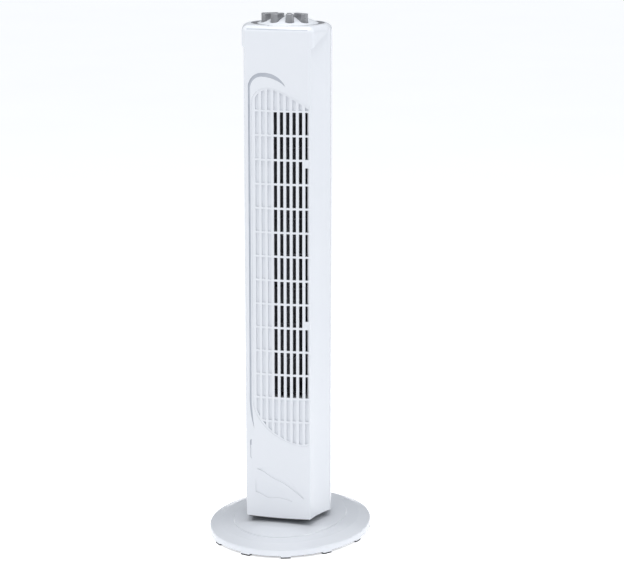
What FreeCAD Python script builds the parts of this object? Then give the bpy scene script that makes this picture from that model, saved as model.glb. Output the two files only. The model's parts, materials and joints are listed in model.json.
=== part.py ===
import FreeCAD, Part
import math
import os
from FreeCAD import Vector as V

# Tower fan. Millimetres, +Z up, the front faces -Y, the swing axis is the Z axis.
# The origin is the centre of the base, on the surface that the fan stands on.

# ---- overall sizes ---------------------------------------------------------------------
fan_height = 730.0        # floor to the top of the keys
base_width = 223.5
base_depth = 277.0
body_width = 122.0
front_reach = 68.7        # the front face, ahead of the swing axis
seam_reach = 14.0         # where the front cover meets the rear housing, and the widest line
front_half = 48.8         # half width of the front face before its corners are rounded
front_bow = 4.0           # how far the middle of the front face bows forward of its corners
side_fullness = 2.4       # how many degrees the side leans out beyond its chord
wall = 2.6
corner_radius = 9.5
top_round = 9.0

# ---- fits ------------------------------------------------------------------------------
seat_gap = 0.3            # loose seats between covers and plates
running_gap = 0.05        # radial clearance of shafts in their bushes
hole_gap = 0.15           # radial clearance round screws
key_gap = 0.5             # clearance round a key in its slot

# ---- base ------------------------------------------------------------------------------
base_wall = 2.4
foot_height = 1.9
skirt_lift = 3.4          # underside of the skirt between the lugs
rim_height = 12.9
plateau_half_width = 78.0
plateau_half_depth = 110.0
plateau_edge_height = 21.3
plateau_top = 30.0
lug_count = 12
lug_width = 14.0
foot_length = 9.0
base_plate_thickness = 2.4
ballast_half_width = 78.0
ballast_half_depth = 104.0
ballast_thickness = 8.0
base_screw_share = 0.86   # screw places, as a share of the base's outline
base_screw_count = 6

# ---- swivel and swing drive ------------------------------------------------------------
washer_thickness = 1.5
post_radius = 15.0
post_bore = 9.0
post_flange_radius = 30.0
post_flange_thickness = 3.0
pad_thickness = 5.4
hub_wall = 6.0
hub_top_height = 46.0
swing_play = 0.5          # end play of the tower on its post
yoke_thickness = 3.0
yoke_arm_width = 13.0
crank_offset = 20.0       # crank axis, behind the swing axis
crank_throw = 14.36
crank_pin_radius = 2.5
crank_disc_thickness = 3.0
yoke_slot_play = 1.0      # side play of the crank pin in the yoke's slot
swing_motor_radius = 21.0
swing_motor_thickness = 18.0
swing_ear_reach = 29.0
swing_shaft_radius = 2.5
motor_lift = 5.0          # crank disc up to the swing motor

# ---- tower levels ----------------------------------------------------------------------
body_bottom = 35.3
key_rise = 14.0           # key tops above the body's top
outlet_drop = 113.0       # body top down to the top bar of the outlet
motor_room = 171.6        # body bottom up to the bar that ends the open outlet
cap_recess = 2.0
cap_thickness = 2.7

# ---- front grille ----------------------------------------------------------------------
open_rows = 12
blind_rows_below = 2
slot_columns = 9
blind_columns = 3
slot_pitch = 8.6
slot_width = 4.8
first_slot_x = -27.7
bar_height = 2.7
blind_depth = 1.7
field_recess = 0.6
lug_patch_height = 10.0
groove_depth = 1.0

# ---- side cheeks -----------------------------------------------------------------------
cheek_front_x = 45.2
cheek_hollow = 2.6        # how far the cheek is hollowed behind its chord
cheek_drop_front = 32.0   # cheek's upper edge below the body top, at the front
cheek_drop_back = 4.0     # and at the seam

# ---- rear intake -----------------------------------------------------------------------
intake_half_angle = 41.0
intake_rows = 44
intake_columns = 3
intake_slot_height = 5.2
intake_rib_angle = 2.6
intake_flange = 4.0
intake_thickness = 2.2

# ---- rotor and motor -------------------------------------------------------------------
rotor_x = 6.0
rotor_y = -2.0
rotor_radius = 34.0
rotor_end_gap = 6.0
blade_count = 28
blade_length = 8.0
blade_thickness = 0.9
blade_lean = 38.0
disc_count = 9
disc_thickness = 1.6
shaft_radius = 4.0
tip_pin_radius = 3.0
motor_gap = 36.0          # bulkhead down to the laminations
stator_side = 60.0
stator_height = 30.0
motor_rotor_radius = 19.0
air_gap = 0.5
coil_height = 12.0
coil_outer_radius = 27.0
shield_radius = 30.0
shield_wall = 2.0
shield_depth = 16.0
bush_radius = 7.0
bush_length = 12.0
bulkhead_thickness = 3.0
motor_bolt_reach = 25.5
motor_bolt_radius = 2.0

# ---- air duct --------------------------------------------------------------------------
duct_wall = 1.6
duct_clearance = 3.0

# ---- top panel and keys ----------------------------------------------------------------
panel_y = -8.0
panel_radius = 41.5
panel_opening_radius = 50.0
panel_thickness = 2.2
panel_dome = 10.5
panel_edge_drop = 0.6     # panel edge below the body's top
tab_width = 27.0
tab_reach = 54.2
bezel_recess = 1.3
key_angles = (-50.0, -17.0, 17.0, 50.0)
key_names = ("key_swing", "key_stop", "key_low", "key_high")
key_inner_radius = 16.0
key_outer_radius = 40.0
key_inner_width = 6.0
key_outer_width = 11.0
key_centre_y = -4.0
key_travel = 4.0
key_depth = 22.0
stem_length = 16.0
stem_width = 5.0
switch_y = -24.0
switch_half_width = 35.0
switch_half_depth = 22.0
switch_height = 24.0

# ---- screws ----------------------------------------------------------------------------
screw_radius = 1.6
screw_head_radius = 3.2
screw_head_height = 2.0
boss_radius = 4.4
side_screw_x = 47.5
screw_seat_y = 10.0       # where the side screws' heads sit in the rear housing
small_screw_radius = 1.2
small_head_radius = 2.4
small_head_height = 1.6

# ---- cord entry ------------------------------------------------------------------------
gland_radius = 6.0
gland_rise = 60.0         # body bottom up to the cord's entry

# ---- worked-out levels and places ------------------------------------------------------
half_width = body_width / 2
body_top = fan_height - key_rise
outlet_top = body_top - outlet_drop
outlet_bottom = body_bottom + motor_room
row_pitch = (outlet_top - outlet_bottom) / open_rows
cap_bottom = body_bottom - cap_recess
cap_top = cap_bottom + cap_thickness
washer_top = plateau_top + washer_thickness
post_top = hub_top_height + swing_play
yoke_top = post_top + yoke_thickness
crank_bottom = yoke_top + screw_head_height + swing_play
swing_motor_bottom = crank_bottom + crank_disc_thickness + motor_lift
lower_bulkhead_top = outlet_bottom - rotor_end_gap
lower_bulkhead_bottom = lower_bulkhead_top - bulkhead_thickness
upper_bulkhead_bottom = outlet_top + bar_height / 2
upper_bulkhead_top = upper_bulkhead_bottom + bulkhead_thickness
rotor_bottom = lower_bulkhead_top + rotor_end_gap
rotor_top = upper_bulkhead_bottom - rotor_end_gap
stator_top = lower_bulkhead_bottom - motor_gap
stator_bottom = stator_top - stator_height
base_plate_top = foot_height + base_plate_thickness
panel_edge = body_top - panel_edge_drop
switch_top = fan_height - key_depth - key_travel - 2.0
gland_height = body_bottom + gland_rise
intake_bottom = lower_bulkhead_top + intake_flange + seat_gap
intake_top = upper_bulkhead_bottom - intake_flange - seat_gap
panel_seat = body_top - bezel_recess - 2.0
side_screw_levels = (body_bottom + 34.0, (outlet_top + outlet_bottom) / 2, body_top - 46.0)


# ---- helpers ---------------------------------------------------------------------------
def line(a, b):
    return Part.LineSegment(V(a[0], a[1], 0), V(b[0], b[1], 0)).toShape()


def arc(a, b, c):
    return Part.Arc(V(a[0], a[1], 0), V(b[0], b[1], 0), V(c[0], c[1], 0)).toShape()


def spline(points):
    curve = Part.BSplineCurve()
    curve.interpolate([V(p[0], p[1], 0) for p in points])
    return curve.toShape()


def prism(edges, z0, z1):
    face = Part.Face(Part.Wire(edges))
    face.translate(V(0, 0, z0))
    return face.extrude(V(0, 0, z1 - z0))


def front_prism(edges, y0, y1):
    """A prism whose outline is drawn in X and Z and which runs along Y."""
    face = Part.Face(Part.Wire(edges))
    face.rotate(V(0, 0, 0), V(1, 0, 0), 90)
    face.translate(V(0, y0, 0))
    return face.extrude(V(0, y1 - y0, 0))


def box(x0, x1, y0, y1, z0, z1):
    return Part.makeBox(x1 - x0, y1 - y0, z1 - z0, V(x0, y0, z0))


def rod(radius, z0, z1, x=0.0, y=0.0):
    return Part.makeCylinder(radius, z1 - z0, V(x, y, z0))


def rod_along_y(radius, y0, y1, x, z):
    return Part.makeCylinder(radius, y1 - y0, V(x, y0, z), V(0, 1, 0))


def ring(outer, inner, z0, z1, x=0.0, y=0.0):
    return rod(outer, z0, z1, x, y).cut(rod(inner, z0 - 1, z1 + 1, x, y))


def oval_wire(half_x, half_y, z):
    long_end, short_end = V(0, half_y, z), V(half_x, 0, z)
    if half_x > half_y:
        long_end, short_end = short_end, long_end
    return Part.Wire([Part.Ellipse(long_end, short_end, V(0, 0, z)).toShape()])


def oval(half_x, half_y, z0, z1):
    return Part.Face(oval_wire(half_x, half_y, z0)).extrude(V(0, 0, z1 - z0))


def union(solids):
    return solids[0].multiFuse(solids[1:]).removeSplitter()


def mirrored(shape):
    return shape.mirror(V(0, 0, 0), V(1, 0, 0))


def save(name, shape):
    solids = shape.Solids
    whole = solids[0] if len(solids) == 1 else Part.makeCompound(solids)
    whole.exportStep(f"parts/{name}.step")
    print(name, len(solids), "valid" if whole.isValid() else "NOT VALID", round(whole.Volume))


# ---- tower outline ---------------------------------------------------------------------
def front_line(x, inset=0.0):
    """Y of the front face at x."""
    return -(front_reach - inset - front_bow * (x / front_half) ** 2)


def side_path(inset=0.0):
    """The right side: its front corner, where the flat ends, the middle of the bend and the seam."""
    run_x, run_y = half_width - front_half, -seam_reach - front_line(front_half)
    lean = math.atan2(run_x, run_y) + math.radians(side_fullness)
    slope = math.tan(lean)
    radius = (run_y * slope - run_x) / (math.sin(lean) * slope - 1 + math.cos(lean))
    reach, centre_x = radius - inset, half_width - radius
    bend = (centre_x + reach * math.cos(lean), -seam_reach - reach * math.sin(lean))
    middle = (centre_x + reach * math.cos(lean / 2), -seam_reach - reach * math.sin(lean / 2))
    corner_y = front_line(front_half, inset)
    corner = (bend[0] - (bend[1] - corner_y) * slope, corner_y)
    return corner, bend, middle, (half_width - inset, -seam_reach)


def tower_outline(inset=0.0):
    corner, bend, middle, widest = side_path(inset)
    back = (0, half_width - seam_reach - inset)

    def left(p):
        return -p[0], p[1]
    return [
        arc(left(corner), (0, front_line(0, inset)), corner),
        line(corner, bend),
        arc(bend, middle, widest),
        arc(widest, back, left(widest)),
        arc(left(widest), left(middle), left(bend)),
        line(left(bend), left(corner)),
    ]


def round_front_corners(solid, radius):
    """Rounds the two upright edges at the ends of the front face."""
    edges = [e for e in solid.Edges
             if abs(e.Vertexes[0].X - e.Vertexes[-1].X) < 0.01
             and abs(e.BoundBox.ZLength - solid.BoundBox.ZLength) < 0.01
             and e.Vertexes[0].Y < front_line(front_half) + 3 * wall]
    return solid.makeFillet(radius, edges)


def tower_block(inset, z0, z1):
    return round_front_corners(prism(tower_outline(inset), z0, z1), corner_radius - inset)


def cheek_cutter(inset=0.0):
    """What the hollow of the right cheek removes, moved inwards and up by the inset."""
    top = body_top - cheek_drop_back
    front = (cheek_front_x, -front_reach)
    seam = (half_width - 0.1, -seam_reach)
    middle = ((front[0] + seam[0]) / 2 - cheek_hollow, (front[1] + seam[1]) / 2)
    outside, ahead = half_width + 20, front[1] - 10
    corners = [seam, (outside, seam[1]), (outside, ahead), (front[0], ahead), front]
    plan = prism([arc(front, middle, seam)] + [line(a, b) for a, b in zip(corners, corners[1:])],
                 body_bottom - 20, top)
    low = (-front_reach, body_top - cheek_drop_front)
    high = (-seam_reach, top)
    bend = ((low[0] + high[0]) / 2 + 0.8, (low[1] + high[1]) / 2 + 1.8)
    floor, far = body_bottom - 20, low[0] - 20
    corners = [high, (high[0] + 1, floor), (far, floor), (far, low[1]), low]
    side = Part.Face(Part.Wire([arc(low, bend, high)] + [line(a, b) for a, b in zip(corners, corners[1:])]))
    side.rotate(V(0, 0, 0), V(1, 1, 1), 120)
    side.translate(V(cheek_front_x - 30, 0, 0))
    cutter = plan.common(side.extrude(V(60, 0, 0)))
    cutter.translate(V(-inset * 1.05, 0, inset))
    return cutter


def hollow_cheeks(solid, inset=0.0):
    cheek = cheek_cutter(inset)
    return solid.cut(Part.makeCompound([cheek, mirrored(cheek)]))


def tower_outside():
    block = tower_block(0.0, body_bottom, body_top)
    top = [e for e in block.Edges if e.BoundBox.ZMin > body_top - 0.01]
    return hollow_cheeks(block.makeFillet(top_round, top))


def tower_inside():
    block = tower_block(wall, body_bottom - 1, body_top - wall)
    top = [e for e in block.Edges if e.BoundBox.ZMin > body_top - wall - 0.01]
    return hollow_cheeks(block.makeFillet(top_round - wall, top), wall)


# ---- covers ----------------------------------------------------------------------------
def slot_x(column):
    return first_slot_x + slot_pitch * column


def row_level(row):
    return outlet_top - row_pitch * row


def grille_field(grow):
    """The leaf-shaped field of slots, drawn in X and Z."""
    left = slot_x(0) - slot_pitch * 0.6 - grow
    right = slot_x(slot_columns - 1) + slot_pitch * 0.33 + grow
    top = outlet_top + grow
    low = row_level(open_rows + blind_rows_below) + grow * -1
    span = right - left
    upper = [(left, top + 10), (left + 0.07 * span, top + 21), (left + 0.25 * span, top + 28.5),
             (left + 0.5 * span, top + 24), (left + 0.75 * span, top + 14.5), (right, top + 3)]
    lower = [(right, low + 5.5), (right - 0.06 * span, low + 2.4), (right - 0.25 * span, low + 3.0),
             (right - 0.5 * span, low + 10.5), (right - 0.75 * span, low + 24), (left, low + 60)]
    return [spline(upper), line(upper[-1], lower[0]), spline(lower), line(lower[-1], upper[0])]


def lug_patches():
    """Two plain patches on the last column, where catches sit behind the grille."""
    x0, x1 = slot_x(slot_columns - 1) - slot_width, slot_x(slot_columns - 1) + slot_width
    upper = row_level(2)
    lower = row_level(9)
    return [box(x0, x1, -100, 0, upper - lug_patch_height, upper),
            box(x0, x1, -100, 0, lower, lower + lug_patch_height)]


def slot_cutters():
    open_cuts, blind_cuts = [], []
    for column in range(slot_columns):
        x0, x1 = slot_x(column) - slot_width / 2, slot_x(column) + slot_width / 2
        blind_floor = front_line(slot_x(column)) + field_recess + blind_depth
        for row in range(-1, open_rows + blind_rows_below):
            z1 = row_level(row) - bar_height / 2
            z0 = row_level(row + 1) + bar_height / 2
            if column >= blind_columns and 0 <= row < open_rows:
                open_cuts.append(box(x0, x1, -100, front_line(0) + 12, z0, z1))
            else:
                blind_cuts.append(box(x0, x1, -100, blind_floor, z0, z1))
    field = front_prism(grille_field(0.0), 0, -100)
    blind = Part.makeCompound(blind_cuts).common(field)
    return open_cuts, blind.Solids


def under_front(depth, tilt=0.0, pivot=(0.0, 0.0), along=(1.0, 0.0)):
    """A block whose front lies that far under the tower's front face, tilted about a line of it."""
    side = front_line(front_half)
    corners = [(front_half, side), (front_half, 0), (-front_half, 0), (-front_half, side)]
    block = prism([arc(corners[3], (0, front_line(0)), corners[0])]
                  + [line(a, b) for a, b in zip(corners, corners[1:])], 0, fan_height)
    block.translate(V(0, depth, 0))
    block.rotate(V(pivot[0], front_line(pivot[0]), pivot[1]), V(along[0], 0, along[1]), tilt)
    return block


def hook_groove():
    """The thin groove that hooks over the slots and runs down beside them, and its short tail."""
    x = slot_x(0) - 10.8
    top = outlet_top + 48.0
    low = row_level(open_rows) - 25.0
    tip = (x + 50.7, top - 15)
    crown_out, crown_in = (x + 19.4, top + 2.7), (x + 19.4, top - 2.4)
    left_out, left_in = x - 1.6, x + 1.4
    foot = (x + 4.6, low - 20)
    edges = [arc(tip, (x + 36.5, top - 0.6), crown_out),
             arc(crown_out, (x + 3.4, top - 4), (left_out, top - 17)),
             line((left_out, top - 17), (left_out, low + 30)),
             arc((left_out, low + 30), (x - 0.6, low + 4), foot),
             arc(foot, (x + 1.9, low + 5), (left_in - 0.2, low + 30)),
             line((left_in - 0.2, low + 30), (left_in, top - 17)),
             arc((left_in, top - 17), (x + 6.6, top - 6.8), crown_in),
             arc(crown_in, (x + 35.5, top - 5.6), tip)]
    tail = [(x - 1.4, low - 38), (x - 1.4, low - 62), (x + 0.6, low - 64), (x + 0.6, low - 36)]
    tail_edges = [line(tail[i], tail[(i + 1) % 4]) for i in range(4)]
    floor = under_front(groove_depth)
    return [front_prism(edges, 0, -100).cut(floor), front_prism(tail_edges, 0, -100).cut(floor)]


def wave_reliefs():
    """Two shallow wedge-shaped waves low on the front, deepest at their lower edges."""
    z = body_bottom
    upper = [spline([(-30, z + 68), (-9, z + 72), (12, z + 60), (37, z + 29)]),
             spline([(37, z + 29), (22, z + 41), (5, z + 52), (-10, z + 58.5), (-20, z + 65),
                     (-30, z + 68)])]
    lower = [spline([(-32, z + 55), (-10, z + 49), (10, z + 35), (21, z + 24)]),
             spline([(21, z + 24), (9, z + 28), (-2, z + 29), (-13, z + 28), (-24, z + 32.5),
                     (-32, z + 35)]),
             line((-32, z + 35), (-32, z + 55))]
    slope = (0.87, -0.49)
    return [front_prism(upper, 0, -100).cut(under_front(0.0, 4.5, (12, z + 60), slope)),
            front_prism(lower, 0, -100).cut(under_front(0.0, 3.2, (-10, z + 49), (0.94, -0.34)))]


def panel_opening():
    z0, z1 = body_top - 30, body_top + 5
    tab_half = tab_width / 2 + key_gap
    return rod(panel_opening_radius, z0, z1, 0, panel_y).fuse(
        box(-tab_half, tab_half, panel_y - tab_reach - key_gap, panel_y, z0, z1))


def front_cover(shell, outside):
    cover = shell.common(box(-100, 100, -100, -seam_reach - seat_gap, 0, fan_height))
    bosses = []
    for x in (-side_screw_x, side_screw_x):
        for z in side_screw_levels:
            post = rod_along_y(boss_radius, -seam_reach - 16, -seam_reach, x, z)
            web = box(min(x, x * 1.4), max(x, x * 1.4), -seam_reach - 16, -seam_reach, z - 1, z + 1)
            bosses.append(post.fuse(web).common(outside))
    cover = union([cover] + bosses)
    holes = [rod_along_y(screw_radius + hole_gap, -seam_reach - 14, -seam_reach + 1, x, z)
             for x in (-side_screw_x, side_screw_x) for z in side_screw_levels]
    open_cuts, blind_cuts = slot_cutters()
    recess = front_prism(grille_field(2.6), 0, -100).cut(under_front(field_recess))
    patches = Part.makeCompound(lug_patches())
    slots = Part.makeCompound(open_cuts).cut(patches)
    for cut in [recess] + hook_groove() + wave_reliefs() + [panel_opening()]:
        cover = cover.cut(cut)
    for cuts in (holes, slots.Solids, blind_cuts):
        cover = cover.cut(Part.makeCompound(cuts))
    return cover


def rear_sector(outer, inner, half_angle, z0, z1):
    """Part of a tube about the housing's own axis, on the rear side."""
    centre = V(0, -seam_reach, z0)
    start = V(0, 0, 1)
    tube = Part.makeCylinder(outer, z1 - z0, centre, start, 2 * half_angle)
    tube = tube.cut(Part.makeCylinder(inner, z1 - z0 + 2, V(0, -seam_reach, z0 - 1)))
    tube.rotate(centre, start, 90 - half_angle)
    return tube


def rear_housing(shell, outside):
    housing = shell.common(box(-100, 100, -seam_reach, 100, 0, fan_height))
    mouth = rear_sector(half_width + 5, half_width - 12, intake_half_angle, intake_bottom, intake_top)
    bosses, holes = [], []
    for x in (-side_screw_x, side_screw_x):
        for z in side_screw_levels:
            post = rod_along_y(boss_radius, -seam_reach, half_width, x, z)
            bosses.append(post.common(outside))
            holes.append(rod_along_y(screw_radius + hole_gap, -seam_reach - 1, half_width, x, z))
            holes.append(rod_along_y(screw_head_radius + hole_gap, screw_seat_y, half_width, x, z))
    housing = union([housing] + bosses)
    gland = rod_along_y(gland_radius, 0, 100, 0, gland_height)
    return housing.cut(Part.makeCompound([mouth, gland, panel_opening()] + holes))


def side_screws():
    screws = []
    for x in (-side_screw_x, side_screw_x):
        for z in side_screw_levels:
            shank = rod_along_y(screw_radius, -seam_reach - 12, screw_seat_y, x, z)
            head = rod_along_y(screw_head_radius, screw_seat_y, screw_seat_y + screw_head_height, x, z)
            screws.append(shank.fuse(head))
    return Part.makeCompound(screws)


def intake_grille():
    z0, z1 = intake_bottom, intake_top
    gap_angle = math.degrees(seat_gap / half_width)
    panel = rear_sector(half_width, half_width - intake_thickness, intake_half_angle - gap_angle,
                        z0 + seat_gap, z1 - seat_gap)
    inner = half_width - wall - seat_gap
    flange_angle = intake_half_angle + math.degrees(intake_flange / inner)
    flange = rear_sector(inner, inner - 1.6, flange_angle, z0 - intake_flange, z1 + intake_flange)
    frame_angle = math.degrees(3.0 / inner)
    window = rear_sector(half_width, inner - 5, intake_half_angle - frame_angle, z0 + 3, z1 - 3)
    flange = flange.cut(window)
    edge = rear_sector(half_width - 0.5, inner - 1.6, intake_half_angle - gap_angle,
                       z0 + seat_gap, z1 - seat_gap)
    edge = edge.cut(window)
    body = union([panel, flange, edge])
    pitch = (z1 - z0 - 8.0) / intake_rows
    column_angle = (2 * intake_half_angle - 4.0) / intake_columns
    slots = []
    for column in range(intake_columns):
        turn = (column - (intake_columns - 1) / 2) * column_angle
        for row in range(intake_rows):
            middle = z0 + 4.0 + pitch * (row + 0.5)
            slot = rear_sector(half_width + 3, inner - 6, (column_angle - intake_rib_angle) / 2,
                               middle - intake_slot_height / 2, middle + intake_slot_height / 2)
            slot.rotate(V(0, -seam_reach, 0), V(0, 0, 1), turn)
            slots.append(slot)
    return body.cut(Part.makeCompound(slots))


def bulkhead(z0, z1):
    """A plate across the tower's inside, clear of the side walls and of the screw bosses."""
    plate = hollow_cheeks(tower_block(wall + seat_gap, z0, z1), wall + seat_gap)
    room = boss_room(z0, z1)
    return plate.cut(Part.makeCompound(room)) if room else plate


def boss_room(z0, z1):
    """Clear room round the side screw bosses that a plate at this level would meet."""
    room = []
    for x in (-side_screw_x, side_screw_x):
        for z in side_screw_levels:
            if z0 - boss_radius - 1 < z < z1 + boss_radius + 1:
                room.append(rod_along_y(boss_radius + seat_gap, -60, half_width, x, z))
    return room


# ---- base ------------------------------------------------------------------------------
def base_form(inset, floor):
    """The base's outer form, or its hollow when inset is a wall: ovals from the rim to the plateau."""
    half_x, half_y = base_width / 2 - inset, base_depth / 2 - inset
    rim = rim_height - inset
    edge = plateau_edge_height - inset
    top = plateau_top - inset
    wide, deep = plateau_half_width - inset, plateau_half_depth - inset
    rings = [(half_x, half_y, floor), (half_x, half_y, rim - 2.0), (half_x - 0.7, half_y - 0.7, rim - 0.6),
             (half_x - 2.2, half_y - 2.2, rim),
             ((half_x + wide) / 2, (half_y + deep) / 2, (rim + edge) / 2 + 0.6), (wide, deep, edge - 1.3),
             (wide - 0.8, deep - 0.8, edge), (wide * 0.75, deep * 0.75, edge * 0.45 + top * 0.55),
             (wide * 0.5, deep * 0.5, top - 0.5), (wide * 0.42, deep * 0.42, top)]
    return Part.makeLoft([oval_wire(*r) for r in rings], True, True)


def oval_place(share, angle):
    turn = math.radians(angle)
    return base_width / 2 * share * math.cos(turn), base_depth / 2 * share * math.sin(turn)


def lug_angles():
    return [360.0 / lug_count * (i + 0.5) for i in range(lug_count)]


def lug_block(angle, depth, z0, z1):
    """A block across the rim, square to the oval, that reaches inwards by depth."""
    x, y = oval_place(1.0, angle)
    block = box(-depth, 3.0, -lug_width / 2, lug_width / 2, z0, z1)
    turn = math.radians(angle)
    square = math.degrees(math.atan2(base_width / 2 * math.sin(turn), base_depth / 2 * math.cos(turn)))
    block.rotate(V(0, 0, 0), V(0, 0, 1), square)
    block.translate(V(x, y, 0))
    return block


def base_screw_places():
    step = 360.0 / base_screw_count
    return [oval_place(base_screw_share, step * (i + 0.5)) for i in range(base_screw_count)]


def base_cover():
    skirt = base_form(0.0, skirt_lift).cut(base_form(base_wall, skirt_lift - 1))
    rim = oval(base_width / 2, base_depth / 2, foot_height, skirt_lift).cut(
        oval(base_width / 2 - base_wall, base_depth / 2 - base_wall, 0, rim_height))
    lugs = [lug_block(angle, base_wall + 4, foot_height, skirt_lift).common(rim) for angle in lug_angles()]
    pad = rod(post_flange_radius + 4, plateau_top - pad_thickness, plateau_top - 1.0)
    form = base_form(base_wall / 2, base_plate_top)
    bosses = [rod(boss_radius, base_plate_top, plateau_top, x, y).common(form)
              for x, y in base_screw_places()]
    cover = skirt.multiFuse([pad] + lugs + bosses)
    holes = [rod(screw_radius + hole_gap, base_plate_top - 1, rim_height - 1, x, y)
             for x, y in base_screw_places()]
    holes += [rod(screw_radius + hole_gap, plateau_top - pad_thickness - 1, plateau_top - 1.5, x, y)
              for x, y in flange_screw_places()]
    holes.append(rod(post_radius + seat_gap, 0, 60))
    return cover.cut(Part.makeCompound(holes))


def base_plate():
    inset = base_wall + seat_gap
    plate = oval(base_width / 2 - inset, base_depth / 2 - inset, foot_height, base_plate_top)
    holes = []
    for x, y in base_screw_places():
        holes.append(rod(screw_radius + hole_gap, 0, 20, x, y))
        holes.append(rod(screw_head_radius + hole_gap, 0, foot_height + 1.2, x, y))
    return plate.cut(Part.makeCompound(holes))


def base_screws():
    screws = []
    for x, y in base_screw_places():
        seat = foot_height + 1.2
        head = rod(screw_head_radius, foot_height, seat, x, y)
        screws.append(head.fuse(rod(screw_radius, seat, rim_height - 2, x, y)))
    return Part.makeCompound(screws)


def rubber_feet():
    rim = oval(base_width / 2 - 0.2, base_depth / 2 - 0.2, -1, 20)
    feet = [lug_block(angle, foot_length, 0, foot_height).common(rim) for angle in lug_angles()]
    return Part.makeCompound(feet)


def ballast_weight():
    plate = oval(ballast_half_width, ballast_half_depth, base_plate_top, base_plate_top + ballast_thickness)
    room = [rod(post_flange_radius + 6, 0, 60)]
    room += [rod(boss_radius + 2, 0, 60, x, y) for x, y in base_screw_places()]
    return plate.cut(Part.makeCompound(room))


def round_places(reach, angles):
    return [(reach * math.cos(math.radians(a)), reach * math.sin(math.radians(a))) for a in angles]


def flange_screw_places():
    return round_places((post_radius + post_flange_radius) / 2, (45, 135, 225, 315))


def yoke_screw_places():
    return round_places((post_radius + post_bore) / 2, (30, 150, 270))


def pivot_post():
    flange_top = plateau_top - pad_thickness
    post = rod(post_radius, flange_top - 1, post_top).fuse(
        rod(post_flange_radius, flange_top - post_flange_thickness, flange_top))
    holes = [rod(post_bore, 0, 100)]
    holes += [rod(screw_radius + hole_gap, flange_top - 10, flange_top + 1, x, y)
              for x, y in flange_screw_places()]
    holes += [rod(small_screw_radius + hole_gap, post_top - 9, post_top + 1, x, y)
              for x, y in yoke_screw_places()]
    return post.cut(Part.makeCompound(holes)).removeSplitter()


def small_screw(tip, seat, x, y):
    head = rod(small_head_radius, seat, seat + small_head_height, x, y)
    return head.fuse(rod(small_screw_radius, tip, seat, x, y))


def pivot_screws():
    seat = plateau_top - pad_thickness - post_flange_thickness
    screws = [rod(screw_radius, seat, plateau_top - 2.0, x, y).fuse(
        rod(screw_head_radius, seat - screw_head_height, seat, x, y)) for x, y in flange_screw_places()]
    screws += [small_screw(post_top - 8, yoke_top, x, y) for x, y in yoke_screw_places()]
    return Part.makeCompound(screws)


def swing_yoke():
    slot_half = crank_pin_radius + yoke_slot_play
    near = math.hypot(crank_offset, crank_throw) - crank_pin_radius - 2.0
    far = crank_offset + crank_throw + crank_pin_radius + 1.5
    arm = box(-yoke_arm_width / 2, yoke_arm_width / 2, 0, far, post_top, yoke_top).fuse(
        rod(yoke_arm_width / 2, post_top, yoke_top, 0, far - 1.5))
    plate = union([rod(post_radius + 5, post_top, yoke_top), arm])
    cuts = [rod(post_bore, 0, 100),
            box(-slot_half, slot_half, near, far - slot_half, post_top - 1, yoke_top + 1),
            rod(slot_half, post_top - 1, yoke_top + 1, 0, far - slot_half)]
    cuts += [rod(small_screw_radius + hole_gap, post_top - 1, yoke_top + 1, x, y)
             for x, y in yoke_screw_places()]
    return plate.cut(Part.makeCompound(cuts))


# ---- bottom of the tower ---------------------------------------------------------------
def bottom_cap():
    plate = bulkhead(cap_bottom, cap_top)
    hub = rod(post_radius + hub_wall, washer_top, hub_top_height)
    ears = (-swing_ear_reach, swing_ear_reach)
    cap = union([plate, hub] + [rod(3.6, cap_top - 1, swing_motor_bottom, x, crank_offset) for x in ears])
    pilot = small_screw_radius + hole_gap
    pilots = [rod(pilot, swing_motor_bottom - 9, swing_motor_bottom + 1, x, crank_offset) for x in ears]
    return cap.cut(Part.makeCompound([rod(post_radius + running_gap, 0, 100)] + pilots))


def swing_motor():
    top = swing_motor_bottom + swing_motor_thickness
    can = rod(swing_motor_radius, swing_motor_bottom, top, 0, crank_offset)
    ears = box(-swing_ear_reach - 5, swing_ear_reach + 5, crank_offset - 5, crank_offset + 5,
               swing_motor_bottom, swing_motor_bottom + 1.2)
    body = union([can, ears])
    cuts = [rod(swing_shaft_radius + running_gap, 0, swing_motor_bottom + 8, 0, crank_offset)]
    cuts += [rod(small_screw_radius + hole_gap, 0, 100, x, crank_offset)
             for x in (-swing_ear_reach, swing_ear_reach)]
    return body.cut(Part.makeCompound(cuts))


def swing_motor_screws():
    return Part.makeCompound([small_screw(swing_motor_bottom - 8, swing_motor_bottom + 1.2, x, crank_offset)
                              for x in (-swing_ear_reach, swing_ear_reach)])


def swing_crank():
    top = crank_bottom + crank_disc_thickness
    disc = rod(crank_throw + crank_pin_radius + 2, crank_bottom, top, 0, crank_offset)
    boss = rod(6.0, top - 1, swing_motor_bottom - 0.8, 0, crank_offset)
    pin = rod(crank_pin_radius, post_top - 1.0, crank_bottom + 1, 0, crank_offset + crank_throw)
    return union([disc, boss, pin]).cut(rod(swing_shaft_radius, crank_bottom + 1, 100, 0, crank_offset))


def swing_shaft():
    return rod(swing_shaft_radius, crank_bottom + 1, swing_motor_bottom + 7, 0, crank_offset)


# ---- rotor -----------------------------------------------------------------------------
def blade_section():
    """One curved blade, drawn at its place on the +X side of the rotor's own axis."""
    outer = rotor_radius - 0.6
    inner = outer - blade_length
    lean = math.radians(blade_lean)
    tip = V(outer, 0, 0)
    root = V(inner * math.cos(lean / 4), inner * math.sin(lean / 4), 0)
    middle = (tip + root) * 0.5 + V(-0.6, -1.3, 0)
    thick = V(0.15, blade_thickness, 0)
    return [Part.Arc(tip, middle, root).toShape(), Part.LineSegment(root, root + thick).toShape(),
            Part.Arc(root + thick, middle + thick, tip + thick * 0.6).toShape(),
            Part.LineSegment(tip + thick * 0.6, tip).toShape()]


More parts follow.
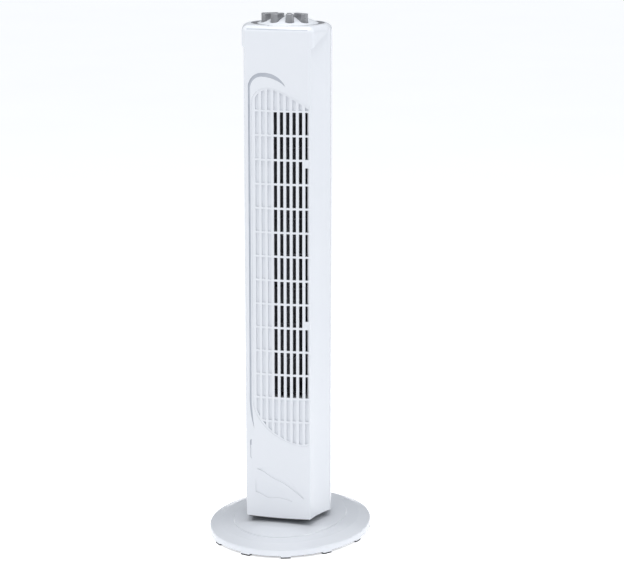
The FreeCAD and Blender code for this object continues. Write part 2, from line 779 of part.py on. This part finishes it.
def crossflow_rotor():
    blades = []
    for i in range(blade_count):
        blade = prism(blade_section(), rotor_bottom + 0.4, rotor_top - 0.4)
        blade.rotate(V(0, 0, 0), V(0, 0, 1), 360.0 / blade_count * i)
        blades.append(blade)
    discs = []
    span = rotor_top - rotor_bottom - disc_thickness
    inner = rotor_radius - blade_length - 3.5
    for i in range(disc_count):
        z = rotor_bottom + span * i / (disc_count - 1)
        if i in (0, disc_count - 1):
            discs.append(rod(rotor_radius, z, z + disc_thickness))
        else:
            discs.append(ring(rotor_radius, inner, z, z + disc_thickness))
    hub = rod(10.0, rotor_bottom, rotor_bottom + 20)
    cap = rod(8.0, rotor_top - 14, rotor_top)
    body = discs[0].multiFuse(discs[1:] + blades + [hub, cap])
    body = body.cut(Part.makeCompound([rod(shaft_radius, 0, rotor_bottom + 18),
                                       rod(tip_pin_radius, rotor_top - 12, rotor_top + 1)]))
    body.translate(V(rotor_x, rotor_y, 0))
    return body


def rotor_shaft():
    end = stator_bottom - shield_depth - bush_length
    return rod(shaft_radius, end, rotor_bottom + 18, rotor_x, rotor_y)


def rotor_tip_pin():
    return rod(tip_pin_radius, rotor_top - 12, upper_bulkhead_top + 8, rotor_x, rotor_y)


def motor_rotor():
    return ring(motor_rotor_radius, shaft_radius, stator_bottom, stator_top, rotor_x, rotor_y)


# ---- motor -----------------------------------------------------------------------------
def motor_bolt_places():
    return [(rotor_x + sx * motor_bolt_reach, rotor_y + sy * motor_bolt_reach)
            for sx in (-1, 1) for sy in (-1, 1)]


def motor_stator():
    half = stator_side / 2
    block = box(rotor_x - half, rotor_x + half, rotor_y - half, rotor_y + half, stator_bottom, stator_top)
    upright = [e for e in block.Edges if abs(e.BoundBox.ZLength - stator_height) < 0.01]
    block = block.makeFillet(4.0, upright)
    cuts = [rod(motor_rotor_radius + air_gap, 0, fan_height, rotor_x, rotor_y)]
    cuts += [rod(motor_bolt_radius + hole_gap, 0, fan_height, x, y) for x, y in motor_bolt_places()]
    return block.cut(Part.makeCompound(cuts))


def coil_ring(z0, z1, rounded):
    """A winding ring with the edges of one end rounded."""
    inner = motor_rotor_radius + air_gap + 2
    coil = ring(coil_outer_radius, inner, z0, z1, rotor_x, rotor_y)
    edges = [e for e in coil.Edges if abs(e.BoundBox.ZMin - rounded) < 0.01 and e.BoundBox.ZLength < 0.01]
    return coil.makeFillet((coil_outer_radius - inner) * 0.36, edges)


def motor_coils():
    top, low = stator_top + coil_height, stator_bottom - coil_height
    return Part.makeCompound([coil_ring(stator_top, top, top), coil_ring(low, stator_bottom, low)])


def end_shield(face, up):
    """A pressed cup on the laminations; up is 1 for the upper one and -1 for the lower one."""
    def level(a, b):
        return (face + up * a, face + up * b) if up > 0 else (face + up * b, face + up * a)
    cup = rod(shield_radius, *level(0, shield_depth), rotor_x, rotor_y).cut(
        rod(shield_radius - shield_wall, *level(-1, shield_depth - shield_wall), rotor_x, rotor_y))
    seat = shield_depth - shield_wall
    hub = rod(bush_radius + 2.5, *level(seat, seat + bush_length - 1), rotor_x, rotor_y)
    bore = rod(bush_radius, *level(seat - 1, seat + bush_length + 1), rotor_x, rotor_y)
    return union([cup, hub]).cut(bore)


def bush(z0, bore):
    return ring(bush_radius, bore + running_gap, z0, z0 + bush_length, rotor_x, rotor_y)


def motor_bushes():
    upper = stator_top + shield_depth - shield_wall
    lower = stator_bottom - shield_depth + shield_wall - bush_length
    return Part.makeCompound([bush(upper, shaft_radius), bush(lower, shaft_radius)])


def motor_bolts():
    bolts = []
    for x, y in motor_bolt_places():
        shank = rod(motor_bolt_radius, stator_bottom, lower_bulkhead_bottom, x, y)
        head = rod(motor_bolt_radius * 1.9, stator_bottom - 3.0, stator_bottom, x, y)
        bolts.append(shank.fuse(head))
    return Part.makeCompound(bolts)


def lower_bulkhead():
    plate = bulkhead(lower_bulkhead_bottom, lower_bulkhead_top)
    legs = [rod(5.0, stator_top, lower_bulkhead_bottom + 1, x, y) for x, y in motor_bolt_places()]
    body = union([plate] + legs)
    cuts = [rod(shaft_radius + 4, 0, fan_height, rotor_x, rotor_y)]
    cuts += [rod(motor_bolt_radius + hole_gap, 0, lower_bulkhead_bottom, x, y)
             for x, y in motor_bolt_places()]
    return body.cut(Part.makeCompound(cuts))


def upper_bulkhead():
    plate = bulkhead(upper_bulkhead_bottom, upper_bulkhead_top)
    seat = rod(bush_radius + 3.0, upper_bulkhead_top - 1, upper_bulkhead_top + 10, rotor_x, rotor_y)
    body = union([plate, seat])
    return body.cut(rod(bush_radius, 0, fan_height, rotor_x, rotor_y))


def upper_bush():
    return bush(upper_bulkhead_bottom, tip_pin_radius)


# ---- air path --------------------------------------------------------------------------
def arc_wall(a, b, c, thickness, z0, z1):
    """A curved wall through three points, with its thickness on the outside of the curve."""
    circle = Part.Circle(V(*a, 0), V(*b, 0), V(*c, 0))
    middle = circle.Center
    grow = (circle.Radius + thickness) / circle.Radius

    def pushed(p):
        return middle.x + (p[0] - middle.x) * grow, middle.y + (p[1] - middle.y) * grow
    far_a, far_b, far_c = pushed(a), pushed(b), pushed(c)
    return prism([arc(a, b, c), line(c, far_c), arc(far_c, far_b, far_a), line(far_a, a)], z0, z1)


def around_rotor(gap, angle):
    reach = rotor_radius + gap
    turn = math.radians(angle)
    return rotor_x + reach * math.cos(turn), rotor_y + reach * math.sin(turn)


def duct_levels():
    return lower_bulkhead_top, upper_bulkhead_bottom


def air_duct():
    """The scroll: close to the rotor at the back left, opening out to the outlet's left edge."""
    z0, z1 = duct_levels()
    left = slot_x(blind_columns) - slot_width / 2 - 0.8
    outlet_left = (left, front_line(left, wall) + 1.7)
    side = around_rotor(duct_clearance + 4, 175)
    scroll = arc_wall(around_rotor(duct_clearance, 112), around_rotor(duct_clearance + 1.6, 145), side,
                      duct_wall, z0, z1)
    flare = arc_wall(side, (side[0] + 5.0, side[1] - 27), outlet_left, duct_wall, z0, z1)
    return union([scroll, flare, rod(duct_wall, z0, z1, side[0] - duct_wall / 2, side[1])])


def air_tongue():
    """The stabiliser, from the outlet's right edge back to a lip beside the rotor."""
    z0, z1 = duct_levels()
    right = slot_x(slot_columns - 1) + slot_width / 2 - 2.3
    outlet_right = (right, front_line(right, wall) + 1.4)
    lip = around_rotor(duct_clearance, -38)
    bend = ((lip[0] + outlet_right[0]) / 2 + 1.0, (lip[1] + outlet_right[1]) / 2)
    web = arc_wall(outlet_right, bend, lip, duct_wall, z0, z1)
    return web.fuse(rod(duct_wall, z0, z1, lip[0] + 0.6, lip[1])).removeSplitter()


# ---- small electrical pieces -----------------------------------------------------------
def cord_gland():
    back = half_width - seam_reach
    sleeve = rod_along_y(gland_radius - 0.1, back - wall - 3, back + 3, 0, gland_height)
    outer = rod_along_y(gland_radius + 2, back + 0.2, back + 3, 0, gland_height)
    inner = rod_along_y(gland_radius + 2, back - wall - 3, back - wall - 0.8, 0, gland_height)
    return union([sleeve, outer, inner]).cut(rod_along_y(3.3, 0, 100, 0, gland_height))


def run_capacitor():
    can = box(-24, 20, -50, -33, cap_top, cap_top + 27)
    upright = [e for e in can.Edges if abs(e.BoundBox.ZLength - 27) < 0.01]
    return can.makeFillet(2.0, upright)


def terminal_block():
    body = box(24, 36, -50, -30, cap_top, cap_top + 12)
    cuts = [rod_along_y(1.6, -51, -29, x, cap_top + 5) for x in (27.2, 32.8)]
    return body.cut(Part.makeCompound(cuts))


# ---- top panel and keys ----------------------------------------------------------------
def panel_dome_solid(drop):
    """The space under the panel's domed top, lowered by drop."""
    radius = (panel_radius ** 2 + panel_dome ** 2) / (2 * panel_dome)
    ball = Part.makeSphere(radius, V(0, panel_y, panel_edge + panel_dome - radius - drop))
    return ball.common(rod(panel_radius - (0 if drop == 0 else panel_thickness), panel_edge - 12 - drop,
                           fan_height, 0, panel_y))


def key_plan(grow):
    """A wedge-shaped key in plan, pointing along -Y from the fan-out centre."""
    r0, r1 = key_inner_radius - grow, key_outer_radius + grow
    w0, w1 = key_inner_width / 2 + grow, key_outer_width / 2 + grow
    nose = 3.0
    return [line((-w0, -r0), (w0, -r0)), line((w0, -r0), (w1, -r1 + nose)),
            arc((w1, -r1 + nose), (0, -r1), (-w1, -r1 + nose)), line((-w1, -r1 + nose), (-w0, -r0))]


def key_solid(angle, grow, z0, z1):
    key = prism(key_plan(grow), z0, z1)
    key.rotate(V(0, 0, 0), V(0, 0, 1), angle)
    key.translate(V(0, key_centre_y, 0))
    return key


def key_stem_place(angle):
    reach = (key_inner_radius + key_outer_radius) / 2
    turn = math.radians(angle)
    return reach * math.sin(turn), key_centre_y - reach * math.cos(turn)


def stem(angle, grow, z0, z1):
    x, y = key_stem_place(angle)
    half = stem_width / 2 + grow
    block = box(-half, half, -half, half, z0, z1)
    block.rotate(V(0, 0, 0), V(0, 0, 1), angle)
    block.translate(V(x, y, 0))
    return block


def key(angle):
    cap = key_solid(angle, 0.0, fan_height - key_depth, fan_height)
    top = [e for e in cap.Edges if e.BoundBox.ZMin > fan_height - 0.01]
    cap = cap.makeFillet(1.2, top)
    under = fan_height - key_depth
    return cap.fuse(stem(angle, 0.0, under - stem_length, under + 1)).removeSplitter()


def top_panel():
    half = tab_width / 2
    outside = panel_dome_solid(0.0)
    tab = box(-half, half, panel_y - tab_reach, panel_y, panel_edge - panel_thickness, panel_edge)
    tab = tab.cut(rod(panel_radius - 1, 0, fan_height, 0, panel_y))
    shell = outside.cut(panel_dome_solid(panel_thickness))
    shell = shell.common(rod(100, panel_seat, fan_height, 0, panel_y))
    body = union([shell, tab])
    return body.cut(Part.makeCompound([key_solid(a, key_gap, 0, fan_height + 5) for a in key_angles]))


def panel_bezel(shell):
    """The dark recessed ring round the panel, with a flange under the casing's top wall."""
    floor, ledge_bottom = panel_seat + 2.0, panel_seat - 2.0
    under = body_top - wall - seat_gap
    outer, inner = panel_opening_radius - seat_gap, panel_opening_radius - 2.0
    body = union([
        ring(outer, panel_radius + seat_gap, panel_seat, floor, 0, panel_y),
        ring(panel_radius + 2.0, panel_radius - 2.0, ledge_bottom, panel_seat, 0, panel_y),
        ring(outer, inner, floor - 1, body_top - 1.0, 0, panel_y),
        ring(panel_opening_radius + 2.0, inner, under - 1.6, under, 0, panel_y),
        box(-panel_radius, panel_radius, switch_y + 14, switch_y + 20, ledge_bottom, panel_seat)])
    half = tab_width / 2 + key_gap
    tab_floor = panel_edge - panel_thickness - seat_gap
    tab_room = box(-half, half, panel_y - tab_reach - 20, panel_y, tab_floor, fan_height)
    return body.cut(Part.makeCompound([tab_room, shell.cut(panel_opening())]))


def switch_block():
    """The interlocked key switch under the panel, with a well for each key's stem."""
    half_x, half_y = switch_half_width, switch_half_depth
    body = box(-half_x, half_x, switch_y - half_y, switch_y + half_y,
               switch_top - switch_height, switch_top)
    upright = [e for e in body.Edges if abs(e.BoundBox.ZLength - switch_height) < 0.01]
    body = body.makeFillet(5.0, upright)
    ears = box(-half_x - 9, half_x + 9, switch_y - 6, switch_y + 6, switch_top - 3, switch_top)
    well_floor = fan_height - key_depth - stem_length - key_travel - 1.0
    wells = [stem(a, seat_gap, well_floor, switch_top + 1) for a in key_angles]
    return union([body, ears]).cut(Part.makeCompound(wells))


def switch_frame():
    """Two legs that stand on the upper bulkhead and carry the switch by its ears."""
    legs = []
    for side in (-1, 1):
        x = side * (switch_half_width + 5.0)
        legs.append(box(x - 3, x + 3, switch_y - 6, switch_y + 6, upper_bulkhead_top, switch_top - 3))
    return Part.makeCompound(legs)


# ---- build -----------------------------------------------------------------------------
def build():
    os.makedirs("parts", exist_ok=True)
    outside = tower_outside()
    shell = outside.cut(tower_inside())
    save("front_cover", front_cover(shell, outside))
    save("rear_housing", rear_housing(shell, outside))
    save("side_screws", side_screws())
    save("intake_grille", intake_grille())
    save("base_cover", base_cover())
    save("base_plate", base_plate())
    save("base_screws", base_screws())
    save("rubber_feet", rubber_feet())
    save("ballast_weight", ballast_weight())
    save("pivot_post", pivot_post())
    save("pivot_screws", pivot_screws())
    save("slide_washer", ring(post_radius + 9, post_radius + seat_gap, plateau_top, washer_top))
    save("swing_yoke", swing_yoke())
    save("bottom_cap", bottom_cap())
    save("swing_motor", swing_motor())
    save("swing_motor_screws", swing_motor_screws())
    save("swing_crank", swing_crank())
    save("swing_shaft", swing_shaft())
    save("crossflow_rotor", crossflow_rotor())
    save("rotor_shaft", rotor_shaft())
    save("rotor_tip_pin", rotor_tip_pin())
    save("motor_rotor", motor_rotor())
    save("motor_stator", motor_stator())
    save("motor_coils", motor_coils())
    save("motor_upper_shield", end_shield(stator_top, 1))
    save("motor_lower_shield", end_shield(stator_bottom, -1))
    save("motor_bushes", motor_bushes())
    save("motor_bolts", motor_bolts())
    save("lower_bulkhead", lower_bulkhead())
    save("upper_bulkhead", upper_bulkhead())
    save("upper_bush", upper_bush())
    save("air_duct", air_duct())
    save("air_tongue", air_tongue())
    save("cord_gland", cord_gland())
    save("run_capacitor", run_capacitor())
    save("terminal_block", terminal_block())
    save("top_panel", top_panel())
    save("panel_bezel", panel_bezel(shell))
    save("switch_block", switch_block())
    save("switch_frame", switch_frame())
    for name, angle in zip(key_names, key_angles):
        save(name, key(angle))


build()
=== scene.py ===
import json

import bmesh
import bpy
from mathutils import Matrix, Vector

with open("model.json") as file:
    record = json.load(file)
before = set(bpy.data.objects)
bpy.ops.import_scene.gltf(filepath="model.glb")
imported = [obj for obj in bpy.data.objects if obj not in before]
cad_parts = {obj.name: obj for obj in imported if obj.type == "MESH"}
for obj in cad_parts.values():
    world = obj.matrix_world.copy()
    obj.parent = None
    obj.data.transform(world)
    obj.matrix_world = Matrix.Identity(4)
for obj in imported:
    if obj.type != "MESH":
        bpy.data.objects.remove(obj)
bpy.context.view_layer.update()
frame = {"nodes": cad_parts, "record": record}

# Looks for the tower fan: materials, floor, lights and camera.
# Everything is in metres in the part's own frame: the front faces -Y and +Z is up.

nodes = frame["nodes"]
record = frame["record"]
slot_of = {p["node"]: p["material_slot"] for p in record["subparts"]}


# ---- the front face, as the casing is curved ----------------------------------------------
front_reach = 0.0687      # the middle of the front face, ahead of the swing axis
front_half = 0.0488       # half width of the front face
front_bow = 0.004         # how far its middle bows ahead of its corners
front_flat = 0.042        # the part of it, each side of the middle, that carries grooves and slots
waves_top = 0.137         # the two waves low on the front end below this level
groove_sunk = (0.00065, 0.0009)       # depth behind the face at which the painted recess shade starts and is full
blind_floor = (0.0013, 0.0018)        # depth at which a blind slot's floor, given less painted shade, starts and is full
floor_share = 0.12        # how much of the painted shade shows on such a floor
# painted shade: the darker tone laid into the front's grooves, waves and slots, where shade falls
recess_shade_tone = (0.36, 0.39, 0.45)


# ---- node material helpers ---------------------------------------------------------------
edge_wear = 0.5           # how strongly a rubbed edge shows its lighter tone
edge_curve = (0.52, 0.62) # convexity at which wear starts and is full, where 0.5 is flat
grain_depth = 0.0002
strand_depth = 0.0004
coat_roughness = 0.08


def new_material(name):
    material = bpy.data.materials.new(name)
    material.use_nodes = True
    tree = material.node_tree
    tree.nodes.clear()
    out = tree.nodes.new("ShaderNodeOutputMaterial")
    shader = tree.nodes.new("ShaderNodeBsdfPrincipled")
    tree.links.new(shader.outputs["BSDF"], out.inputs["Surface"])
    place = tree.nodes.new("ShaderNodeTexCoord")
    return material, tree, shader, place.outputs["Object"]


def noise(tree, place, scale, detail=4.0, stretch=(1, 1, 1)):
    mapping = tree.nodes.new("ShaderNodeMapping")
    mapping.inputs["Scale"].default_value = stretch
    tree.links.new(place, mapping.inputs["Vector"])
    node = tree.nodes.new("ShaderNodeTexNoise")
    node.inputs["Scale"].default_value = scale
    node.inputs["Detail"].default_value = detail
    tree.links.new(mapping.outputs["Vector"], node.inputs["Vector"])
    return node.outputs["Fac"]


def spread(tree, value, low, high, start=0.3, end=0.7):
    """Maps a 0 to 1 pattern onto a range."""
    node = tree.nodes.new("ShaderNodeMapRange")
    node.inputs["From Min"].default_value = start
    node.inputs["From Max"].default_value = end
    node.inputs["To Min"].default_value = low
    node.inputs["To Max"].default_value = high
    tree.links.new(value, node.inputs["Value"])
    return node.outputs["Result"]


def two_tones(tree, factor, first, second):
    node = tree.nodes.new("ShaderNodeMix")
    node.data_type = "RGBA"
    tree.links.new(factor, node.inputs["Factor"])
    for socket, tone in (("A", first), ("B", second)):
        plug = [s for s in node.inputs if s.name == socket and s.type == "RGBA"][0]
        if isinstance(tone, tuple):
            plug.default_value = (*tone, 1.0)
        else:
            tree.links.new(tone, plug)
    return [s for s in node.outputs if s.type == "RGBA"][0]


def add_bump(tree, shader, height, strength, distance):
    node = tree.nodes.new("ShaderNodeBump")
    node.inputs["Strength"].default_value = strength
    node.inputs["Distance"].default_value = distance
    tree.links.new(height, node.inputs["Height"])
    tree.links.new(node.outputs["Normal"], shader.inputs["Normal"])


def worn_edges(tree, colour, tone):
    """Mixes a tone in where the surface is sharply convex, as rubbed edges show."""
    shape = tree.nodes.new("ShaderNodeNewGeometry")
    edge = spread(tree, shape.outputs["Pointiness"], 0.0, edge_wear, *edge_curve)
    return two_tones(tree, edge, colour, tone)


def surface(name, tones, rough, blotch=14.0, grain=900.0, bump=0.08, metal=0.0, coat=0.0, edge=None,
            stretch=(1, 1, 1), specular=0.5):
    """A moulded or metal surface: two close tones in soft blotches, fine grain and uneven gloss."""
    material, tree, shader, place = new_material(name)
    soft = noise(tree, place, blotch, 3.0)
    colour = two_tones(tree, spread(tree, soft, 0.0, 1.0), *tones)
    if edge:
        colour = worn_edges(tree, colour, edge)
    tree.links.new(colour, shader.inputs["Base Color"])
    fine = noise(tree, place, grain, 3.0, stretch)
    smear = noise(tree, place, blotch * 4.0, 5.0)
    tree.links.new(spread(tree, smear, rough[0], rough[1]), shader.inputs["Roughness"])
    add_bump(tree, shader, fine, bump, grain_depth)
    shader.inputs["Metallic"].default_value = metal
    shader.inputs["Coat Weight"].default_value = coat
    shader.inputs["Coat Roughness"].default_value = coat_roughness
    shader.inputs["Specular IOR Level"].default_value = specular
    return material


def laminations(name):
    """Stacked sheet steel: fine level lines with a little rust between them."""
    material, tree, shader, place = new_material(name)
    wave = tree.nodes.new("ShaderNodeTexWave")
    wave.bands_direction = "Z"
    wave.inputs["Scale"].default_value = 320.0
    wave.inputs["Distortion"].default_value = 0.6
    tree.links.new(place, wave.inputs["Vector"])
    lines = wave.outputs["Fac"]
    colour = two_tones(tree, lines, (0.16, 0.155, 0.15), (0.42, 0.42, 0.43))
    rust = spread(tree, noise(tree, place, 60.0), 0.0, 0.35, 0.55, 0.75)
    colour = two_tones(tree, rust, colour, (0.20, 0.09, 0.045))
    tree.links.new(colour, shader.inputs["Base Color"])
    tree.links.new(spread(tree, lines, 0.3, 0.55), shader.inputs["Roughness"])
    add_bump(tree, shader, lines, 0.4, grain_depth)
    shader.inputs["Metallic"].default_value = 0.85
    return material


def windings(name):
    """Enamelled copper wire wound in rings."""
    material, tree, shader, place = new_material(name)
    wave = tree.nodes.new("ShaderNodeTexWave")
    wave.wave_type = "BANDS"
    wave.bands_direction = "Z"
    wave.inputs["Scale"].default_value = 260.0
    wave.inputs["Distortion"].default_value = 3.0
    wave.inputs["Detail Scale"].default_value = 2.0
    tree.links.new(place, wave.inputs["Vector"])
    strands = wave.outputs["Fac"]
    colour = two_tones(tree, strands, (0.33, 0.12, 0.045), (0.78, 0.36, 0.14))
    tree.links.new(colour, shader.inputs["Base Color"])
    tree.links.new(spread(tree, strands, 0.24, 0.42), shader.inputs["Roughness"])
    add_bump(tree, shader, strands, 0.7, strand_depth)
    shader.inputs["Metallic"].default_value = 0.8
    return material


WHITE = ((0.745, 0.763, 0.80), (0.758, 0.775, 0.808))


def arithmetic(tree, operation, first, second):
    node = tree.nodes.new("ShaderNodeMath")
    node.operation = operation
    for plug, value in zip(node.inputs, (first, second)):
        if isinstance(value, float):
            plug.default_value = value
        else:
            tree.links.new(value, plug)
    return node.outputs["Value"]


def shaded_front(name):
    """The front cover's white, with painted shade darkening its grooves and waves, and less of it on its
    blind slot floors.
    """
    material = surface(name, WHITE, (0.24, 0.27), grain=1500.0, bump=0.015, coat=0.3)
    tree = material.node_tree
    shader = [n for n in tree.nodes if n.type == "BSDF_PRINCIPLED"][0]
    white = shader.inputs["Base Color"].links[0].from_socket
    place = tree.nodes.new("ShaderNodeTexCoord")
    split = tree.nodes.new("ShaderNodeSeparateXYZ")
    tree.links.new(place.outputs["Object"], split.inputs["Vector"])
    facing = tree.nodes.new("ShaderNodeSeparateXYZ")
    tree.links.new(place.outputs["Normal"], facing.inputs["Vector"])
    across = arithmetic(tree, "DIVIDE", split.outputs["X"], front_half)
    bow = arithmetic(tree, "MULTIPLY", arithmetic(tree, "MULTIPLY", across, across), -front_bow)
    depth = arithmetic(tree, "ADD", arithmetic(tree, "ADD", split.outputs["Y"], front_reach), bow)
    sunk = spread(tree, depth, 0.0, 1.0, *groove_sunk)
    floors = spread(tree, depth, 1.0, floor_share, *blind_floor)
    sunk = arithmetic(tree, "MULTIPLY", sunk, floors)
    level = spread(tree, facing.outputs["Y"], 1.0, 0.0, -0.9, -0.6)
    inside = arithmetic(tree, "LESS_THAN", arithmetic(tree, "ABSOLUTE", split.outputs["X"], 0.0), front_flat)
    above = arithmetic(tree, "GREATER_THAN", split.outputs["Z"], waves_top)
    # painted shade: front-facing recesses darken with depth, unevenly, within the grooved middle and above
    # the waves' lower end
    painted_shade = arithmetic(tree, "MULTIPLY", arithmetic(tree, "MULTIPLY", sunk, level), inside)
    painted_shade = arithmetic(tree, "MULTIPLY", painted_shade, above)
    uneven = spread(tree, noise(tree, place.outputs["Object"], 60.0), 0.62, 0.78)
    painted_shade = arithmetic(tree, "MULTIPLY", painted_shade, uneven)
    tree.links.new(two_tones(tree, painted_shade, white, recess_shade_tone), shader.inputs["Base Color"])
    return material


materials = {
    "gloss_white": surface("gloss_white_look", WHITE, (0.24, 0.27), grain=1500.0, bump=0.015, coat=0.3),
    "white_inner": surface("white_inner_look", ((0.70, 0.71, 0.73), (0.76, 0.77, 0.785)), (0.42, 0.58),
                           bump=0.16),
    "grey_trim": surface("grey_trim_look", ((0.135, 0.135, 0.145), (0.17, 0.17, 0.18)), (0.34, 0.5),
                         bump=0.15, edge=(0.27, 0.27, 0.28)),
    "dark_plastic": surface("dark_plastic_look", ((0.022, 0.023, 0.026), (0.034, 0.035, 0.038)),
                            (0.4, 0.56), bump=0.18, edge=(0.07, 0.07, 0.075)),
    "black_rubber": surface("black_rubber_look", ((0.014, 0.014, 0.015), (0.026, 0.026, 0.028)),
                            (0.66, 0.85), bump=0.35, grain=600.0, specular=0.3, edge=(0.05, 0.05, 0.052)),
    "zinc_steel": surface("zinc_steel_look", ((0.50, 0.50, 0.49), (0.63, 0.63, 0.61)), (0.24, 0.42),
                          metal=1.0, bump=0.1, blotch=60.0, stretch=(1, 1, 6), edge=(0.8, 0.8, 0.79)),
    "ballast_iron": surface("ballast_iron_look", ((0.055, 0.053, 0.052), (0.10, 0.095, 0.09)), (0.55, 0.8),
                            metal=0.6, bump=0.8, grain=420.0, blotch=26.0),
    "lamination_steel": laminations("lamination_steel_look"),
    "copper_winding": windings("copper_winding_look"),
    "bronze_bush": surface("bronze_bush_look", ((0.42, 0.27, 0.12), (0.55, 0.37, 0.18)), (0.35, 0.5),
                           metal=1.0, bump=0.25, blotch=70.0, edge=(0.7, 0.52, 0.3)),
    "rotor_plastic": surface("rotor_plastic_look", ((0.10, 0.104, 0.118), (0.15, 0.154, 0.17)), (0.3, 0.48),
                             bump=0.14),
    "component_shell": surface("component_shell_look", ((0.24, 0.245, 0.26), (0.31, 0.315, 0.33)),
                               (0.34, 0.5), bump=0.14, edge=(0.45, 0.45, 0.46)),
    "acetal": surface("acetal_look", ((0.68, 0.675, 0.65), (0.75, 0.745, 0.72)), (0.36, 0.5), bump=0.1),
    "silver_key": surface("silver_key_look", ((0.27, 0.272, 0.285), (0.34, 0.342, 0.355)),
                          (0.26, 0.38), metal=0.35, bump=0.07, blotch=90.0, coat=0.3),
}

front_look = shaded_front("front_cover_look")
for name, node in nodes.items():
    look = front_look if name == "front_cover" else materials[slot_of[name]]
    if node.material_slots:
        for holder in node.material_slots:
            holder.material = look
    else:
        node.data.materials.append(look)

# ---- floor, light and camera -------------------------------------------------------------
floor_glow = 0.60         # the pale floor's own light, which keeps it white to its far edge
floor_half = 14.0
drop = 0.0002             # the floor lies just under the feet


def flat_floor():
    mesh = bpy.data.meshes.new("floor")
    shape = bmesh.new()
    corners = [(-floor_half, -floor_half), (floor_half, -floor_half), (floor_half, floor_half),
               (-floor_half, floor_half)]
    shape.faces.new([shape.verts.new((x, y, -drop)) for x, y in corners])
    shape.to_mesh(mesh)
    shape.free()
    floor = bpy.data.objects.new("floor", mesh)
    bpy.context.collection.objects.link(floor)
    paper = surface("floor_look", ((0.90, 0.905, 0.915), (0.93, 0.933, 0.94)), (0.6, 0.75),
                    blotch=2.0, grain=300.0, bump=0.04, specular=0.2)
    shader = [n for n in paper.node_tree.nodes if n.type == "BSDF_PRINCIPLED"][0]
    shader.inputs["Emission Color"].default_value = (1.0, 1.0, 1.0, 1.0)
    shader.inputs["Emission Strength"].default_value = floor_glow
    floor.data.materials.append(paper)


def soft_light(name, place, aim, size, power, tone):
    data = bpy.data.lights.new(name, "AREA")
    data.shape = "RECTANGLE"
    data.size, data.size_y = size
    data.energy = power
    data.color = tone
    lamp = bpy.data.objects.new(name, data)
    lamp.location = place
    lamp.rotation_euler = (Vector(aim) - Vector(place)).to_track_quat("-Z", "Y").to_euler()
    bpy.context.collection.objects.link(lamp)


def studio_world():
    world = bpy.data.worlds.new("studio")
    bpy.context.scene.world = world
    world.use_nodes = True
    sky = world.node_tree.nodes["Background"]
    sky.inputs["Color"].default_value = (0.88, 0.93, 1.0, 1.0)
    sky.inputs["Strength"].default_value = 0.44


def camera():
    data = bpy.data.cameras.new("camera")
    data.lens = 124.5
    data.sensor_width = 36.0
    data.sensor_fit = "HORIZONTAL"
    data.clip_end = 60.0
    eye = bpy.data.objects.new("camera", data)
    eye.location = (0.7617, -2.8305, 0.976)
    gaze = Vector((-0.2442, 0.9464, -0.2112))
    eye.rotation_euler = gaze.to_track_quat("-Z", "Y").to_euler()
    bpy.context.collection.objects.link(eye)
    bpy.context.scene.camera = eye


flat_floor()
soft_light("overhead", (0.15, -0.35, 2.1), (0.0, 0.0, 0.0), (1.2, 1.2), 19.0, (1.0, 1.0, 1.0))
soft_light("front_left", (-1.2, -1.1, 1.75), (0.0, -0.06, 0.72), (0.4, 0.4), 7.5, (1.0, 0.995, 0.98))
soft_light("right_strip", (1.3, -0.1, 1.0), (0.0, 0.0, 0.1), (0.4, 1.2), 3.5, (0.97, 0.985, 1.0))
studio_world()
camera()
bpy.context.scene.view_settings.view_transform = "Standard"
